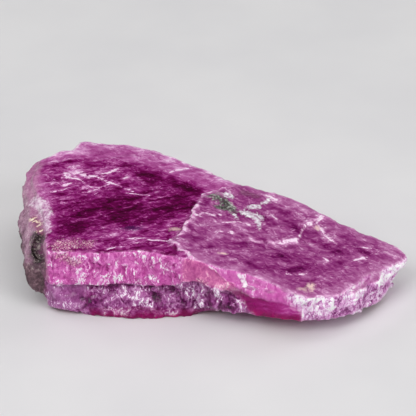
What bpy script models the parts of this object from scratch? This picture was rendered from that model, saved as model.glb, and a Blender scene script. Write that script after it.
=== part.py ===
"""A rough tabular corundum crystal, grown as one piece and broken at its front and at its thin end.

Every length below is in millimetres, and MM turns it into Blender's metres. The stone lies on the
flat parting facet under it: +Z is up, +X points to the thin end and -Y to the broken front, and
X = Y = 0 is about its middle. It is 41 mm long, 27 mm deep and 8.7 mm high.
"""

import math

import bmesh
import bpy
import numpy as np
from mathutils import Vector, noise

MM = 0.001

# Planes, each as (height over the middle, rise per mm along X, rise per mm along Y).
TABLE = (8.02, 0.0, 0.06)  # the large flat top at the left
BACK_BEVEL = (8.4, -0.032, -0.02)  # the smooth strip that falls to the back edge
PLATE_TOP = (8.21, -0.178, 0.125)  # the overgrown plate falls towards the thin end
FLAKE_TOP = (8.16, -0.158, 0.125)  # a thin flake that is left on the plate
PLATE_UNDERSIDE = (4.5, -0.07, 0.0)  # where the plate overhangs the foot
RIM_BEVEL = (-5.78, 0.0, -1.06)  # lifts the table's underside where its front steps out to the plate
PROW_UNDERSIDE = (-0.2, -0.025, -0.18)  # rises towards the front
TIP_UNDERCUT = (-20.8, 1.2, 0.0)  # cuts the thin end from below
FRONT_UNDERCUT = (-1.37, 0.0, -0.217)  # lifts the front edge of the foot off the ground
CORNER_UNDERCUT = (-10.7, -0.64, 0.0)  # lifts the left end of that edge further
BACK_UNDERCUT = (-0.5, -0.02, 0.11)  # lifts the back edge of the foot
FOOT_BEVEL = (18.7, 0.0, 2.0)  # slopes the front of the foot back towards the rim

# Levels of the parting planes that part the layers.
FACET_LEVEL = 0.0
SINK = 0.6  # how far the lowest shapes reach below the facet before it is cut
BASAL_TOP = 0.75
FOOT_LOW_TOP = 3.1
FOOT_HIGH_BOTTOM = 2.1
RIM_LEVEL = 3.55  # the underside of the table where it overhangs the foot
FOOT_TOP = 4.9  # inside the upper layers
OVERLAP = 0.4  # how far one layer reaches into the next
ROOF = 12.0  # above every top plane

# Outlines seen from above, anticlockwise from the front left corner.
TABLE_OUTLINE = [
    (-17.2, -8.1), (-14.4, -8.5), (-11.6, -8.6), (-9.2, -8.3), (-7.0, -8.2), (-5.0, -8.8),
    (-3.1, -9.6), (-2.4, -9.4), (0.0, -3.0), (1.5, 1.0), (3.2, 4.2), (1.0, 5.9),
    (-0.5, 7.5), (-3.8, 9.9), (-6.9, 12.1), (-9.5, 13.1), (-11.7, 13.2), (-13.8, 13.8),
    (-14.7, 13.6), (-15.5, 11.4), (-16.5, 11.4), (-17.4, 11.0), (-17.9, 9.6), (-18.8, 9.4),
    (-19.3, 5.2), (-18.6, 1.3), (-17.8, -1.6), (-17.4, -6.1),
]
PLATE_OUTLINE = [
    (-3.0, -9.6), (-1.4, -9.9), (1.6, -10.6), (3.2, -10.6), (4.2, -11.1), (5.8, -11.7),
    (6.8, -12.3), (8.4, -12.6), (9.6, -13.2), (10.9, -12.7), (13.5, -11.3), (14.5, -9.9),
    (15.4, -8.4), (16.8, -7.1), (18.0, -6.4), (19.2, -5.3), (20.1, -4.2), (20.35, -3.4),
    (19.8, -2.6), (18.5, -1.8), (16.5, -0.9), (14.0, 0.2), (11.7, 1.5), (9.6, 2.7),
    (7.2, 3.8), (5.4, 4.1), (3.2, 4.6), (0.1, 2.2), (-1.0, 1.3), (-1.5, 0.4), (-2.0, -0.8),
    (-2.7, -3.0), (-2.9, -4.2), (-3.4, -5.0), (-3.6, -6.0), (-4.1, -6.8), (-4.2, -7.4),
    (-3.4, -7.9), (-3.3, -8.4), (-3.0, -8.6),
]
FLAKE_OUTLINE = [
    (3.6, -5.6), (6.3, -5.6), (7.3, -5.9), (8.5, -5.2), (9.3, -4.4), (9.4, -3.6), (9.9, -2.4),
    (10.4, -1.3), (11.4, 1.3), (9.6, 2.6), (7.1, 3.7), (3.4, 4.4), (2.0, 0.0), (2.4, -3.0),
]
FOOT_HIGH_OUTLINE = [
    (-17.4, -7.5), (-16.0, -7.8), (-14.8, -7.6), (-11.6, -7.6), (-9.2, -7.4), (-7.0, -7.3),
    (-5.0, -7.9), (-3.1, -8.6), (-1.4, -9.2), (0.6, -10.2), (3.0, -8.0), (5.0, 0.0), (3.0, 3.6), (0.4, 5.2),
    (-4.2, 8.7), (-7.4, 10.7), (-11.7, 12.0), (-14.3, 12.2), (-16.4, 10.0), (-18.0, 7.4),
    (-18.4, 3.0), (-18.0, -4.0),
]
FOOT_LOW_OUTLINE = [
    (-17.2, -7.4), (-16.4, -8.3), (-15.0, -8.6), (-10.8, -8.7), (-8.6, -8.4), (-5.9, -8.7),
    (-3.1, -9.0), (-1.3, -9.4), (0.4, -9.3), (3.0, -6.0), (6.0, -1.0), (4.4, 2.4), (-0.5, 5.0),
    (-4.6, 8.0), (-7.8, 9.8), (-11.5, 11.0), (-14.2, 10.9), (-16.8, 8.4), (-17.8, 5.0),
    (-18.0, 0.0), (-17.6, -5.0),
]
BASAL_OUTLINE = [
    (-13.4, -8.3), (-12.2, -8.9), (-10.8, -9.2), (-8.7, -9.4), (-5.9, -9.4), (-3.1, -9.0),
    (-1.4, -8.4), (3.0, -5.6), (8.4, -4.6), (10.4, -2.4), (7.4, 1.2), (1.4, 3.4), (-4.6, 6.4),
    (-10.6, 8.4), (-14.6, 6.4), (-15.6, 0.4), (-14.8, -5.6),
]
PROW_OUTLINE = [
    (-1.3, -9.4), (0.6, -10.8), (2.7, -11.1), (4.7, -11.8), (6.7, -12.6), (8.7, -12.9),
    (10.8, -12.9), (12.7, -12.0), (14.6, -10.7), (16.0, -8.9), (17.7, -6.8), (18.8, -5.3),
    (19.5, -4.0), (19.2, -2.6), (16.4, -1.3), (13.7, -0.2), (11.4, 1.1), (9.4, 2.3),
    (7.0, 3.1), (3.4, 3.8), (0.0, 2.0), (-3.0, -5.0),
]

# Corners of the two lumps of rind on the left flank.
RIND_CORNERS = [
    (-17.7, -7.4, 1.5), (-18.8, -7.4, 2.0), (-19.5, -7.1, 2.8), (-19.7, -6.6, 4.0),
    (-19.6, -6.0, 5.6), (-18.4, -5.6, 7.2), (-17.4, -6.6, 7.3), (-20.3, -1.5, 3.4),
    (-20.7, 1.0, 4.8), (-20.6, 3.2, 5.6), (-19.4, 0.5, 7.3), (-20.3, 4.0, 3.6),
    (-18.7, 5.0, 2.0), (-18.8, -2.0, 1.4), (-16.0, -7.0, 2.0), (-16.0, -7.0, 7.0),
    (-16.0, 6.0, 2.0), (-16.0, 6.0, 7.4),
]
SHOULDER_CORNERS = [
    (-19.8, 1.8, 6.9), (-20.4, 4.0, 6.8), (-20.6, 5.6, 7.2), (-20.4, 7.6, 7.8),
    (-19.6, 9.6, 8.0), (-18.4, 10.5, 8.3), (-17.6, 10.5, 8.4), (-18.9, 3.0, 7.9),
    (-18.3, 0.5, 7.8), (-20.0, 8.0, 3.5), (-20.3, 5.0, 4.0), (-17.8, 9.6, 2.6),
    (-16.0, 0.0, 3.0), (-16.0, 9.0, 3.0), (-16.0, 0.0, 7.8), (-16.0, 9.0, 8.2),
]
# Corners of the weathered-out hollow between the rind and the front left corner.
HOLLOW_CORNERS = [
    (-17.5, -4.2, 8.6), (-18.3, -4.7, 8.2), (-19.0, -5.8, 7.0), (-19.0, -7.8, 5.8),
    (-18.4, -8.4, 4.8), (-17.5, -8.4, 4.6), (-17.5, -6.0, 4.8), (-17.6, -4.4, 5.8),
    (-18.5, -4.6, 6.6),
]

# Relief, each layer as (height, sizes of its lumps along X, Y and Z, seed of its noise).
RIDGELETS = [(0.2, (1.1, 1.1, 3.6), 3.1), (0.1, (0.7, 0.7, 1.8), 11.7)]  # upright, on every wall
LUMPS = [(0.26, (1.9, 1.9, 1.4), 23.9)]  # on the walls below the rim
STEPS = [(0.34, (3.0, 1.0, 1.3), 37.3)]  # slanting, on the broken thin end
RIND = [(0.24, (1.5, 1.7, 2.4), 51.5)]  # on the left flank
STREAKS = [(0.06, (5.0, 0.8, 5.0), 67.1), (0.03, (2.0, 0.45, 2.0), 71.9)]  # along the grain, on the tops
WAVES = [(0.12, (2.6, 2.6, 2.6), 83.3)]  # underneath
GRAIN_ANGLE = math.radians(19)  # the growth lines on the flat tops, from +X towards +Y
STEP_ANGLE = math.radians(-35)
CALM = 0.85  # how much of the relief a smooth break loses

# Where each relief starts and where it is whole, by the rise of the normal, or by the place in mm.
WALL_TILT = (0.85, 0.45)
TOP_TILT = (0.8, 0.95)
UNDER_TILT = (0.7, 0.9)
BELOW_RIM = (0.2, -0.4)  # height over the underside of the layer above
UNDER_PLATE_X = (-4.5, -3.0)  # from here on that layer is the plate
FRONT_Y = (-6.0, -7.5)
THIN_END_X = (8.5, 10.5)
FLANK_X = (-17.3, -18.0)
CLEAVAGE_X = (-3.2, -2.6, 1.1, 1.9)  # a small smooth cleavage face in the upper layer's front
PROW_FACE_X = (2.6, 4.2, 8.2, 9.4)  # the smooth face under the prow

VOXEL = 0.26  # cell of the remesh that joins the layers
TRIANGLES = 8600
SHARP = math.radians(30)  # edges that turn by more than this stay sharp
WELD = 1e-6


def clear_scene():
    for obj in list(bpy.data.objects):
        bpy.data.objects.remove(obj, do_unlink=True)


def new_collection(name):
    collection = bpy.data.collections.new(name)
    bpy.context.scene.collection.children.link(collection)
    return collection


def evaluated_mesh(obj):
    """The object's mesh with its modifiers applied, as new data."""
    bpy.context.view_layer.update()
    graph = bpy.context.evaluated_depsgraph_get()
    return bpy.data.meshes.new_from_object(obj.evaluated_get(graph))


def lowered(plane, drop):
    height, rise_x, rise_y = plane
    return (height - drop, rise_x, rise_y)


def cut(bm, plane, keep_below):
    """Cuts a closed mesh along a plane, drops one side and closes the cut."""
    height, rise_x, rise_y = plane
    up = Vector((-rise_x, -rise_y, 1.0)).normalized()
    bmesh.ops.bisect_plane(
        bm,
        geom=bm.verts[:] + bm.edges[:] + bm.faces[:],
        dist=WELD,
        plane_co=Vector((0, 0, height * MM)),
        plane_no=up if keep_below else -up,
        clear_outer=True,
    )
    open_edges = [edge for edge in bm.edges if edge.is_boundary]
    bmesh.ops.holes_fill(bm, edges=open_edges, sides=0)


def add_solid(name, mesh, collection):
    obj = bpy.data.objects.new(name, mesh)
    collection.objects.link(obj)
    obj.hide_render = True
    obj.display_type = "WIRE"
    return obj


def finish_solid(name, bm, collection):
    """Turns a bmesh into a helper object whose faces point out."""
    bmesh.ops.triangulate(bm, faces=bm.faces[:])
    bmesh.ops.recalc_face_normals(bm, faces=bm.faces[:])
    mesh = bpy.data.meshes.new(name)
    bm.to_mesh(mesh)
    bm.free()
    return add_solid(name, mesh, collection)


def slab(name, outline, low, high, collection, under=(), over=()):
    """An outline extruded from low to high, then cut under each plane of under and above each of over."""
    curve = bpy.data.curves.new(name, "CURVE")
    curve.dimensions = "2D"
    curve.fill_mode = "BOTH"
    curve.extrude = (high - low) / 2 * MM
    spline = curve.splines.new("POLY")
    spline.points.add(len(outline) - 1)
    for point, (x, y) in zip(spline.points, outline):
        point.co = (x * MM, y * MM, 0.0, 1.0)
    spline.use_cyclic_u = True
    guide = bpy.data.objects.new(name + "_outline", curve)
    collection.objects.link(guide)
    bm = bmesh.new()
    bm.from_mesh(evaluated_mesh(guide))
    bpy.data.objects.remove(guide, do_unlink=True)
    bmesh.ops.remove_doubles(bm, verts=bm.verts[:], dist=WELD)
    bmesh.ops.translate(bm, verts=bm.verts[:], vec=(0, 0, (high + low) / 2 * MM))
    for plane in under:
        cut(bm, plane, keep_below=False)
    for plane in over:
        cut(bm, plane, keep_below=True)
    return finish_solid(name, bm, collection)


def hull(name, corners, collection):
    """The convex block that spans a few corners."""
    bm = bmesh.new()
    for corner in corners:
        bm.verts.new(Vector(corner) * MM)
    found = bmesh.ops.convex_hull(bm, input=bm.verts[:])
    inside = [item for item in found["geom_interior"] if isinstance(item, bmesh.types.BMVert)]
    bmesh.ops.delete(bm, geom=inside, context="VERTS")
    return finish_solid(name, bm, collection)


def add_boolean(obj, operation, operand):
    modifier = obj.modifiers.new(operation.title(), "BOOLEAN")
    modifier.operation = operation
    modifier.solver = "EXACT"
    modifier.object = operand


def layers(collection):
    """The stone's grown layers from the top down, as overlapping solids."""
    bottom = FACET_LEVEL - SINK
    inside_plate = lowered(PLATE_TOP, OVERLAP)
    return [
        slab(
            "table", TABLE_OUTLINE, RIM_LEVEL, ROOF, collection,
            [RIM_BEVEL], [TABLE, BACK_BEVEL],
        ),
        slab(
            "plate", PLATE_OUTLINE, bottom, ROOF, collection,
            [PLATE_UNDERSIDE, TIP_UNDERCUT], [PLATE_TOP],
        ),
        slab("flake", FLAKE_OUTLINE, FOOT_TOP, ROOF, collection, over=[FLAKE_TOP]),
        slab("foot_high", FOOT_HIGH_OUTLINE, FOOT_HIGH_BOTTOM, FOOT_TOP, collection),
        slab(
            "foot_low", FOOT_LOW_OUTLINE, bottom, FOOT_LOW_TOP, collection,
            [FRONT_UNDERCUT, CORNER_UNDERCUT, BACK_UNDERCUT], [FOOT_BEVEL],
        ),
        slab("basal", BASAL_OUTLINE, bottom, BASAL_TOP, collection),
        slab(
            "prow", PROW_OUTLINE, bottom, FOOT_TOP, collection,
            [PROW_UNDERSIDE, TIP_UNDERCUT], [inside_plate],
        ),
        hull("rind", RIND_CORNERS, collection),
        hull("shoulder", SHOULDER_CORNERS, collection),
    ]


def smoothstep(low, high, value):
    """0 at low and 1 at high, easing between them. low may be the larger."""
    t = np.clip((value - low) / (high - low), 0.0, 1.0)
    return t * t * (3.0 - 2.0 * t)


def band(low, start, end, high, value):
    """1 between start and end, easing to 0 at low and at high."""
    return smoothstep(low, start, value) * smoothstep(high, end, value)


def relief(points, noise_layers):
    """How high the layers of smooth noise stand at each point, in mm."""
    total = np.zeros(len(points))
    for height, sizes, seed in noise_layers:
        scaled = points / np.array(sizes) + seed
        total += height * np.array([noise.noise(Vector(point)) for point in scaled])
    return total


def turned(points, angle):
    """The points seen along a direction that lies at this angle to +X."""
    x = points[:, 0] * math.cos(angle) + points[:, 1] * math.sin(angle)
    y = points[:, 1] * math.cos(angle) - points[:, 0] * math.sin(angle)
    return np.stack([x, y, points[:, 2]], axis=1)


def roughness_of(points, normals):
    """How far the broken and grown surface stands out at each point."""
    x, y, z = points.T
    facing_up = normals[:, 2]
    wall = smoothstep(*WALL_TILT, np.abs(facing_up))
    top = smoothstep(*TOP_TILT, facing_up)
    under = smoothstep(*UNDER_TILT, -facing_up)
    plate_share = smoothstep(*UNDER_PLATE_X, x)
    height, rise_x, _ = PLATE_UNDERSIDE
    rim = RIM_LEVEL + plate_share * (height + rise_x * x - RIM_LEVEL)
    low = smoothstep(*BELOW_RIM, z - rim)
    front = smoothstep(*FRONT_Y, y)
    thin_end = smoothstep(*THIN_END_X, x)
    flank = smoothstep(*FLANK_X, x)
    cleavage = band(*CLEAVAGE_X, x) * (1 - low)
    prow_face = band(*PROW_FACE_X, x) * low
    calm = 1 - CALM * front * np.maximum(cleavage, prow_face)

    on_wall = relief(points, RIDGELETS)
    on_wall += relief(points, LUMPS) * low * (1 - flank)
    on_wall += relief(turned(points, STEP_ANGLE), STEPS) * thin_end * front
    on_wall += relief(points, RIND) * flank
    on_top = relief(turned(points, GRAIN_ANGLE), STREAKS)
    return wall * calm * on_wall + top * on_top + under * relief(points, WAVES)


def roughened(mesh):
    """Moves each point along its normal, so that faces get ridges and lumps and their edges stay."""
    count = len(mesh.vertices)
    points = np.empty(count * 3)
    normals = np.empty(count * 3)
    mesh.vertices.foreach_get("co", points)
    mesh.vertices.foreach_get("normal", normals)
    points = points.reshape(-1, 3)
    normals = normals.reshape(-1, 3)
    points += normals * roughness_of(points / MM, normals)[:, None] * MM
    mesh.vertices.foreach_set("co", points.ravel())
    mesh.update()


def with_facet(mesh):
    """The mesh cut flat at the parting facet, and set with that facet's level at 0 and its box centred."""
    bm = bmesh.new()
    bm.from_mesh(mesh)
    cut(bm, (FACET_LEVEL, 0.0, 0.0), keep_below=False)
    bmesh.ops.triangulate(bm, faces=bm.faces[:])
    bmesh.ops.recalc_face_normals(bm, faces=bm.faces[:])
    places = np.array([vert.co for vert in bm.verts])
    middle = (places.min(axis=0) + places.max(axis=0)) / 2
    shift = Vector((-middle[0], -middle[1], -FACET_LEVEL * MM))
    bmesh.ops.translate(bm, verts=bm.verts[:], vec=shift)
    print("shift to the box's middle, mm:", [round(value / MM, 3) for value in shift])
    facetted = bpy.data.meshes.new("sapphire_crystal")
    bm.to_mesh(facetted)
    bm.free()
    return facetted


def corundum_material():
    material = bpy.data.materials.new("corundum")
    material.use_nodes = True
    shader = material.node_tree.nodes["Principled BSDF"]
    shader.inputs["Base Color"].default_value = (0.38, 0.055, 0.24, 1.0)
    shader.inputs["Roughness"].default_value = 0.32
    shader.inputs["Metallic"].default_value = 0.0
    shader.inputs["IOR"].default_value = 1.77
    return material


def build():
    clear_scene()
    crystal = new_collection("sapphire_crystal")
    helpers = new_collection("shapes")
    solids = layers(helpers)
    hollow = hull("hollow", HOLLOW_CORNERS, helpers)

    joined = add_solid("joined", solids[0].data.copy(), helpers)
    for solid in solids[1:]:
        add_boolean(joined, "UNION", solid)
    add_boolean(joined, "DIFFERENCE", hollow)
    remesh = joined.modifiers.new("Remesh", "REMESH")
    remesh.mode = "VOXEL"
    remesh.voxel_size = VOXEL * MM

    fine = evaluated_mesh(joined)
    roughened(fine)
    rough = add_solid("rough", fine, helpers)
    decimate = rough.modifiers.new("Decimate", "DECIMATE")
    fine.calc_loop_triangles()
    decimate.ratio = TRIANGLES / len(fine.loop_triangles)
    stone_mesh = with_facet(evaluated_mesh(rough))

    stone = bpy.data.objects.new("sapphire_crystal", stone_mesh)
    crystal.objects.link(stone)
    stone.data.materials.append(corundum_material())
    stone.data.shade_smooth()
    stone.data.set_sharp_from_angle(angle=SHARP)
    for helper in list(helpers.objects):
        bpy.data.objects.remove(helper, do_unlink=True)


build()
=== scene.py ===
# %% [markdown]
# # A rough sapphire crystal
# This stone is one broken, tabular crystal of pink corundum, 41 mm long. It lies on a flat parting
# face. A thick layer makes its left half, a second plate has overgrown the right half, and both
# overhang a darker foot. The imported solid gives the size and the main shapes, and this lesson adds
# the fine surface, the colour inside the stone, a floor, a few lights and a camera.

# %% Load the solid
import math

import bmesh
import bpy
import numpy as np
from mathutils import Matrix, Vector, kdtree, noise


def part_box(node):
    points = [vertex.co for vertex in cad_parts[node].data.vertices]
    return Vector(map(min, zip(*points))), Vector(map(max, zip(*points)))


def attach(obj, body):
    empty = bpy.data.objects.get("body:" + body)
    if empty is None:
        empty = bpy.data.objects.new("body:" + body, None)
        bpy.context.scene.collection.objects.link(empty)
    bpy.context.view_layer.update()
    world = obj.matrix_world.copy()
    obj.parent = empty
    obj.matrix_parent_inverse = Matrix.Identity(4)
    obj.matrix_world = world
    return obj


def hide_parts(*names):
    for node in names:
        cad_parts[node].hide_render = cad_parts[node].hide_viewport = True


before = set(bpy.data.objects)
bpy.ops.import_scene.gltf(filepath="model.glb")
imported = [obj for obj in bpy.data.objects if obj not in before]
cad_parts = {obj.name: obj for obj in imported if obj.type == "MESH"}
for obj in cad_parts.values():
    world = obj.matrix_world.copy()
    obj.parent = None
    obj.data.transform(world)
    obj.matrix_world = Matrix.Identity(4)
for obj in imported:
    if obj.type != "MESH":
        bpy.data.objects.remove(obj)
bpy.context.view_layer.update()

MM = 0.001
stone_low, stone_high = (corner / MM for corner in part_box("sapphire_crystal"))
print("solid from", [round(v, 2) for v in stone_low], "to", [round(v, 2) for v in stone_high], "mm")

# %% [markdown]
# ## Camera
# A camera is easiest to place by what it looks at: a point on the stone, a distance and a height
# over the ground. A long lens from 23 cm away keeps the edges of such a small thing nearly
# parallel. The lens is worked out from the width of ground that has to fit in the square frame.

# %% Camera
SENSOR = 36.0
FIELD_WIDTH = 43.1
DISTANCE = 230.0
ELEVATION = math.radians(30)
TARGET = Vector((-0.31, -3.40, 9.60))


def add_camera():
    data = bpy.data.cameras.new("camera")
    data.sensor_fit = "HORIZONTAL"
    data.sensor_width = SENSOR
    data.lens = SENSOR * DISTANCE / FIELD_WIDTH
    camera = bpy.data.objects.new("camera", data)
    back = Vector((0.0, -math.cos(ELEVATION), math.sin(ELEVATION)))
    camera.location = (TARGET + back * DISTANCE) * MM
    camera.rotation_euler = (math.pi / 2 - ELEVATION, 0.0, 0.0)
    bpy.context.scene.collection.objects.link(camera)
    bpy.context.scene.camera = camera
    print("camera lens", round(data.lens, 1), "mm")


add_camera()

# %% [markdown]
# ## Shader expressions
# A material is a net of nodes. Written out one by one, the nodes hide what they work out, so a
# small class stands for one output of a node and Python's operators on it add the Math nodes:
# `1 - mask` and `a * b + c` read like arithmetic. Vectors get Vector Math nodes, colours a Mix node.

# %% A node's output as a value in Python
class Output:
    """One output of a shader node. Arithmetic on it adds nodes and gives their output."""

    def __init__(self, surface, socket):
        self.surface = surface
        self.socket = socket

    def calculate(self, operation, *sides):
        sockets = [side.socket for side in sides if isinstance(side, Output)]
        if any(socket.type in ("VECTOR", "RGBA") for socket in sockets):
            sides = [(side,) * 3 if isinstance(side, (int, float)) else side for side in sides]
            return self.surface.node("ShaderNodeVectorMath", {"operation": operation}, sides)
        return self.surface.node("ShaderNodeMath", {"operation": operation}, sides)

    def __add__(self, other):
        return self.calculate("ADD", self, other)

    def __sub__(self, other):
        return self.calculate("SUBTRACT", self, other)

    def __rsub__(self, other):
        return self.calculate("SUBTRACT", other, self)

    def __mul__(self, other):
        return self.calculate("MULTIPLY", self, other)

    def __abs__(self):
        return self.calculate("ABSOLUTE", self)

    __radd__ = __add__
    __rmul__ = __mul__


# %% [markdown]
# Every other node comes from one method. Its settings are set first, because some of them change
# which sockets the node has. Each socket then takes a plain value or an output as its link. Colours
# are written as they look on a screen, from 0 to 255, and turned into the linear light of shaders.

# %% A material that adds nodes
def linear(value):
    value /= 255
    return value / 12.92 if value <= 0.04045 else ((value + 0.055) / 1.055) ** 2.4


def rgb(colour):
    return tuple(linear(value) for value in colour) + (1.0,)


def set_stops(ramp, stops):
    """Gives a new ramp its stops, each (place from 0 to 1, colour)."""
    while len(ramp.elements) < len(stops):
        ramp.elements.new(1.0)
    for element, (position, colour) in zip(ramp.elements, stops):
        element.position = position
        element.color = rgb(colour)


class Surface:
    """A material and its nodes."""

    def __init__(self, name):
        self.material = bpy.data.materials.new(name)
        self.material.use_nodes = True
        self.tree = self.material.node_tree
        self.tree.nodes.clear()

    def node(self, kind, settings, sockets, output=0):
        made = self.tree.nodes.new(kind)
        for name, choice in settings.items():
            if name == "stops":
                set_stops(made.color_ramp, choice)
            else:
                setattr(made, name, choice)
        pairs = sockets.items() if isinstance(sockets, dict) else enumerate(sockets)
        for key, value in pairs:
            if isinstance(value, Output):
                self.tree.links.new(value.socket, made.inputs[key])
            else:
                made.inputs[key].default_value = value
        return Output(self, made.outputs[output]) if made.outputs else None

    def ease(self, value, low, high):
        """0 at low and 1 at high, easing between them. low may be the larger."""
        sockets = {"Value": value, "From Min": low, "From Max": high}
        return self.node("ShaderNodeMapRange", {"interpolation_type": "SMOOTHSTEP"}, sockets)

    def most(self, first, second):
        return self.node("ShaderNodeMath", {"operation": "MAXIMUM"}, [first, second])

    def least(self, first, second):
        return self.node("ShaderNodeMath", {"operation": "MINIMUM"}, [first, second])

    def noise(self, place, sizes, detail=3.0, roughness=0.55, distortion=0.0):
        """Smooth noise about 0.5, whose lumps have the given sizes in mm."""
        scaled = place * tuple(1 / size for size in sizes)
        sockets = {
            "Vector": scaled, "Scale": 1.0, "Detail": detail,
            "Roughness": roughness, "Distortion": distortion,
        }
        return self.node("ShaderNodeTexNoise", {"noise_dimensions": "3D"}, sockets)

    def wobble(self, place, scale, detail):
        """A slowly changing vector, about 0.5 on each axis."""
        sockets = {"Vector": place, "Scale": scale, "Detail": detail}
        return self.node("ShaderNodeTexNoise", {}, sockets, "Color")

    def mix(self, factor, first, second):
        """The first colour where factor is 0 and the second where it is 1."""
        settings = {"data_type": "RGBA", "clamp_factor": True}
        return self.node("ShaderNodeMix", settings, {0: factor, 6: first, 7: second}, output=2)

    def turn(self, place, angle):
        sockets = {"Vector": place, "Angle": angle}
        return self.node("ShaderNodeVectorRotate", {"rotation_type": "Z_AXIS"}, sockets)

    def ramp(self, value, stops):
        """The colour that the stops have at a value."""
        return self.node("ShaderNodeValToRGB", {"stops": stops}, {"Fac": value})

    def tell(self, what):
        print(f"{what}: {len(self.tree.nodes)} nodes so far in {self.material.name}")

    def finish(self, sockets):
        """Gives the surface its shader, and its material back."""
        shader = self.node("ShaderNodeBsdfPrincipled", {}, sockets)
        self.node("ShaderNodeOutputMaterial", {}, {"Surface": shader})
        self.tell("finished")
        return self.material


# %% [markdown]
# ## Floor, lights and world
# The floor is a wide sheet of pale, slightly mottled paper. Soft boxes light the stone. The world
# stays dim, because a polished dark stone shows whatever is behind it as a grey veil.

# %% Floor, lights and world
FLOOR_SIDE = 4000.0
PAPER_MOTTLE = 24.0  # width of the paper's faint clouds
PAPER_DARK = (222, 221, 223)
PAPER_PALE = (228, 227, 228)
WORLD_GREY = 0.05
# Each as (name, place in mm, side of the square in mm, watts).
LIGHTS = [
    ("key", (-230.0, -330.0, 400.0), 260.0, 1.3),
    ("fill", (330.0, -300.0, 260.0), 300.0, 1.02),
    ("overhead", (20.0, -80.0, 600.0), 600.0, 1.4),
    ("back left", (-420.0, 260.0, 320.0), 300.0, 0.6),
    ("back right", (420.0, 260.0, 320.0), 300.0, 0.6),
]


def add_floor():
    surface = Surface("paper")
    place = surface.node("ShaderNodeTexCoord", {}, {}, "Object") * (1 / MM)
    mottle = surface.ease(surface.noise(place, (PAPER_MOTTLE,) * 3), 0.3, 0.7)
    colour = surface.mix(mottle, rgb(PAPER_DARK), rgb(PAPER_PALE))
    material = surface.finish({"Base Color": colour, "Roughness": 0.85})
    bpy.ops.mesh.primitive_plane_add(size=FLOOR_SIDE * MM)
    floor = bpy.context.object
    floor.name = "floor"
    floor.data.materials.append(material)


def add_light(name, place, side, watts):
    data = bpy.data.lights.new(name, "AREA")
    data.shape = "SQUARE"
    data.size = side * MM
    data.energy = watts
    light = bpy.data.objects.new(name, data)
    light.location = Vector(place) * MM
    light.rotation_euler = (-Vector(place)).to_track_quat("-Z", "Y").to_euler()
    bpy.context.scene.collection.objects.link(light)


def set_world():
    world = bpy.data.worlds.new("studio")
    world.use_nodes = True
    world.node_tree.nodes["Background"].inputs["Color"].default_value = (WORLD_GREY,) * 3 + (1.0,)
    bpy.context.scene.world = world
    bpy.context.scene.view_settings.view_transform = "Standard"


add_floor()
for light in LIGHTS:
    add_light(*light)
set_world()
print(len(LIGHTS), "soft lights over the floor")

# %% [markdown]
# ## The stone's mesh
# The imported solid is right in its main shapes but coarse. A copy of it is remeshed with a fine,
# even grid, so that every part of the surface has points enough to carve. Subdividing it instead
# would keep its long, thin triangles. A few rounds of smoothing take away the flat facets of the
# solid. The work is done in millimetres.

# %% A fine copy of the solid
CELL = 0.13  # of the fine grid, about the width of the thinnest ridge
FACET_ROUNDS = 4


def mesh_array(mesh, name):
    """The points or the normals of a mesh as rows of x, y and z."""
    flat = np.empty(len(mesh.vertices) * 3)
    mesh.vertices.foreach_get(name, flat)
    return flat.reshape(-1, 3)


def set_points(mesh, points):
    mesh.vertices.foreach_set("co", points.ravel())
    mesh.update()


def applied(obj):
    """The object's mesh after its modifiers, which are then removed."""
    graph = bpy.context.evaluated_depsgraph_get()
    mesh = bpy.data.meshes.new_from_object(obj.evaluated_get(graph))
    obj.modifiers.clear()
    obj.data = mesh
    return mesh


def fine_copy(node):
    mesh = node.data.copy()
    mesh.transform(Matrix.Scale(1 / MM, 4))
    bm = bmesh.new()
    bm.from_mesh(mesh)
    bmesh.ops.remove_doubles(bm, verts=bm.verts[:], dist=0.001)
    bm.to_mesh(mesh)
    bm.free()
    stone = bpy.data.objects.new("sapphire", mesh)
    bpy.context.scene.collection.objects.link(stone)
    remesh = stone.modifiers.new("Remesh", "REMESH")
    remesh.mode = "VOXEL"
    remesh.voxel_size = CELL
    applied(stone)
    return stone


class Neighbours:
    """Averages over the points that share an edge with each point of a mesh."""

    def __init__(self, mesh):
        pairs = np.empty(len(mesh.edges) * 2, np.int32)
        mesh.edges.foreach_get("vertices", pairs)
        pairs = pairs.reshape(-1, 2)
        self.here = np.concatenate([pairs[:, 0], pairs[:, 1]])
        self.there = np.concatenate([pairs[:, 1], pairs[:, 0]])
        self.count = len(mesh.vertices)
        self.shared = np.bincount(self.here, minlength=self.count)

    def mean(self, values):
        if values.ndim == 2:
            return np.stack([self.mean(column) for column in values.T], axis=1)
        total = np.bincount(self.here, weights=values[self.there], minlength=self.count)
        return total / self.shared

    def smooth(self, values, rounds):
        for _ in range(rounds):
            values = (values + self.mean(values)) / 2
        return values


stone = fine_copy(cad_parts["sapphire_crystal"])
around = Neighbours(stone.data)
points = around.smooth(mesh_array(stone.data, "co"), FACET_ROUNDS)
set_points(stone.data, points)
print(len(points), "points on the fine copy")

# %% [markdown]
# ## Zones
# A broken crystal looks different on every side: grown faces are flat and clear, broken ones are
# rough and pale, and weathered ones are grey. They could be painted by hand, but then each change
# of the shape would need new painting. Instead, each zone is a number from 0 to 1 at each point,
# worked out from where the point is and which way it faces. The carving and the colours use it.

# %% Tools for soft zones
def ease(values, low, high):
    """0 at low and 1 at high, easing between them. low may be the larger."""
    share = np.clip((values - low) / (high - low), 0, 1)
    return share * share * (3 - 2 * share)


def between(values, low, start, end, high):
    """1 between start and end, easing to 0 at low and at high."""
    return ease(values, low, start) * ease(values, high, end)


def patch(points, start, end, radius):
    """A soft patch about a straight line: 1 on the line, fading out around the radius from it."""
    start = np.array(start)
    run = np.array(end) - start
    share = np.clip((points - start) @ run / (run @ run), 0, 1)
    away = points - start - share[:, None] * run
    return np.exp(-(away ** 2).sum(axis=1) / radius ** 2)


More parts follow.
